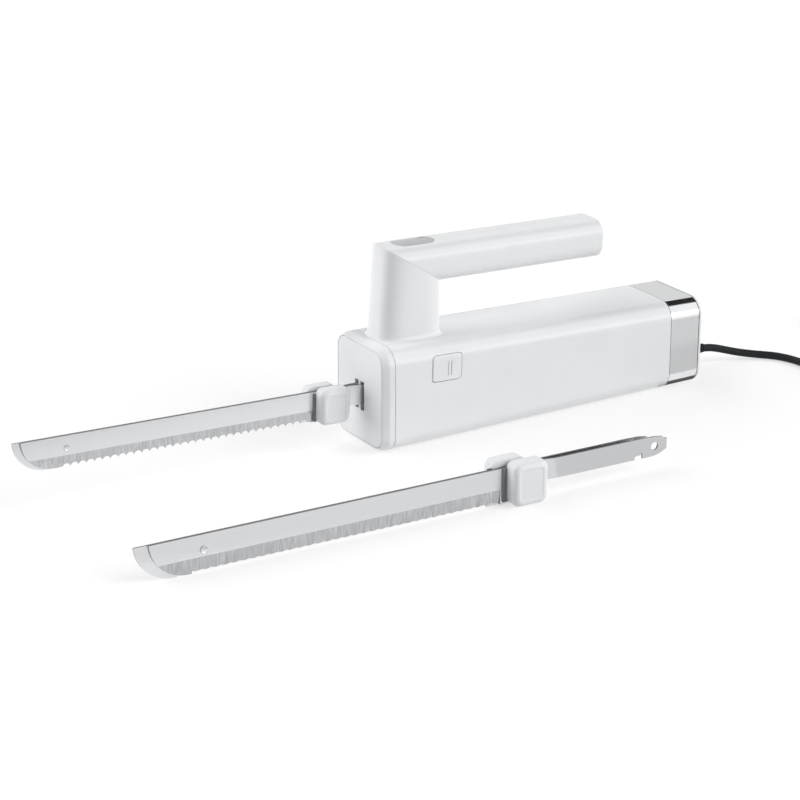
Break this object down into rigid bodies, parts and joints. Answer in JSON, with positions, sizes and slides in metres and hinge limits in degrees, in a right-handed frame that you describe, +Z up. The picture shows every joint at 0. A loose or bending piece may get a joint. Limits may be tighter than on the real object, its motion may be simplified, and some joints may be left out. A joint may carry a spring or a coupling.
{
  "type": "electric carving knife",
  "caption": "Corded carving knife with a top handle, a pair of scalloped blades that slide against each other, and a second pair beside it.",
  "frame": {"origin": "centre of the body's flat base, on the table", "axes": "+Z up, -X towards the fitted blades' tips, -Y towards the side with the release button"},
  "size_m": [0.6376, 0.1692, 0.1226],
  "materials": {
    "white_plastic": "glossy white moulding",
    "panel_plastic": "satin white moulding",
    "guard_plastic": "satin white moulding",
    "silver_plastic": "silver lacquer on plastic",
    "chrome_trim": "satin chrome",
    "blade_steel": "ground stainless steel",
    "spring_steel": "bright steel",
    "plated_steel": "zinc plated steel",
    "plated_brass": "nickel plated brass",
    "bronze": "sintered bronze",
    "acetal": "natural acetal",
    "grey_plastic": "grey moulding",
    "black_plastic": "black moulding",
    "black_rubber": "black flexible sheath",
    "ferrite": "dark ferrite and laminations",
    "board": "green board"
  },
  "bodies": {
    "body": {"housing_left": "white_plastic", "housing_right": "white_plastic", "front_cap": "white_plastic", "front_plate": "panel_plastic", "chrome_band": "chrome_trim", "end_cap": "white_plastic", "handle_left": "white_plastic", "handle_right": "white_plastic", "power_spring": "spring_steel", "microswitch": "black_plastic", "release_spring": "spring_steel", "frame_left": "grey_plastic", "frame_right": "grey_plastic", "frame_screws": "spring_steel", "gear_axle": "spring_steel", "shaft_bushes": "bronze", "motor_can": "plated_steel", "motor_magnets": "ferrite", "motor_front_bell": "plated_steel", "motor_rear_bell": "black_plastic", "motor_cradle": "grey_plastic", "motor_strap": "plated_steel", "filter_board": "board", "strain_relief": "black_rubber", "cord_lead": "black_rubber", "cord_coil": "black_rubber", "coil_tie": "black_plastic", "plug_body": "black_rubber", "plug_pins": "plated_brass"},
    "power_key": {"power_button": "silver_plastic"},
    "release_key": {"release_button": "white_plastic"},
    "rotor": {"motor_rotor": "ferrite", "motor_shaft": "spring_steel", "worm": "spring_steel", "cooling_fan": "black_plastic"},
    "gear": {"worm_gear": "acetal"},
    "left_slide": {"slide_left": "acetal", "catch_left": "spring_steel"},
    "right_slide": {"slide_right": "acetal", "catch_right": "spring_steel"},
    "left_blade": {"blade_left": "blade_steel", "blade_rivet": "blade_steel", "guard_left": "guard_plastic"},
    "right_blade": {"blade_right": "blade_steel", "guard_right": "guard_plastic"},
    "spare_left": {"spare_blade_left": "blade_steel", "spare_rivet": "blade_steel", "spare_guard_left": "guard_plastic"},
    "spare_right": {"spare_blade_right": "blade_steel", "spare_guard_right": "guard_plastic"}
  },
  "joints": [
    {"name": "power_press", "type": "slide", "parent": "body", "child": "power_key", "axis": [-0.0362, 0, -0.9993], "range_m": [0, 0.0025], "stiffness_N_per_m": 600, "deforming": ["power_spring"]},
    {"name": "release_press", "type": "slide", "parent": "body", "child": "release_key", "axis": [0, 1, 0], "range_m": [0, 0.0025], "stiffness_N_per_m": 600},
    {"name": "rotor_spin", "type": "hinge", "parent": "body", "child": "rotor", "pos_m": [0.03128, 0, 0.03254], "axis": [0.9993, 0, -0.0362], "continuous": true},
    {"name": "gear_spin", "type": "hinge", "parent": "body", "child": "gear", "pos_m": [-0.01927, 0, 0.01836], "axis": [0, 1, 0], "continuous": true},
    {"name": "left_stroke", "type": "slide", "parent": "body", "child": "left_slide", "axis": [0.9993, 0, -0.0362], "range_m": [-0.0073, 0.0027]},
    {"name": "right_stroke", "type": "slide", "parent": "body", "child": "right_slide", "axis": [0.9993, 0, -0.0362], "range_m": [-0.0027, 0.0073]},
    {"name": "left_blade_pull", "type": "slide", "parent": "left_slide", "child": "left_blade", "axis": [-0.9993, 0, 0.0362], "range_m": [0, 0.09]},
    {"name": "right_blade_pull", "type": "slide", "parent": "right_slide", "child": "right_blade", "axis": [-0.9993, 0, 0.0362], "range_m": [0, 0.09]},
    {"name": "spare_lift", "type": "slide", "parent": "body", "child": "spare_left", "axis": [0, 0, 1], "range_m": [0, 0.15]},
    {"name": "spare_slide", "type": "slide", "parent": "spare_left", "child": "spare_right", "axis": [-0.9991, 0.0424, 0], "range_m": [-0.018, 0.0015]}
  ],
  "couplings": [
    {"joint": "gear_spin", "follows": "rotor_spin", "ratio": -0.033333},
    {"joint": "right_stroke", "follows": "left_stroke", "ratio": -1},
    {"joint": "right_blade_pull", "follows": "left_blade_pull", "ratio": 1}
  ]
}
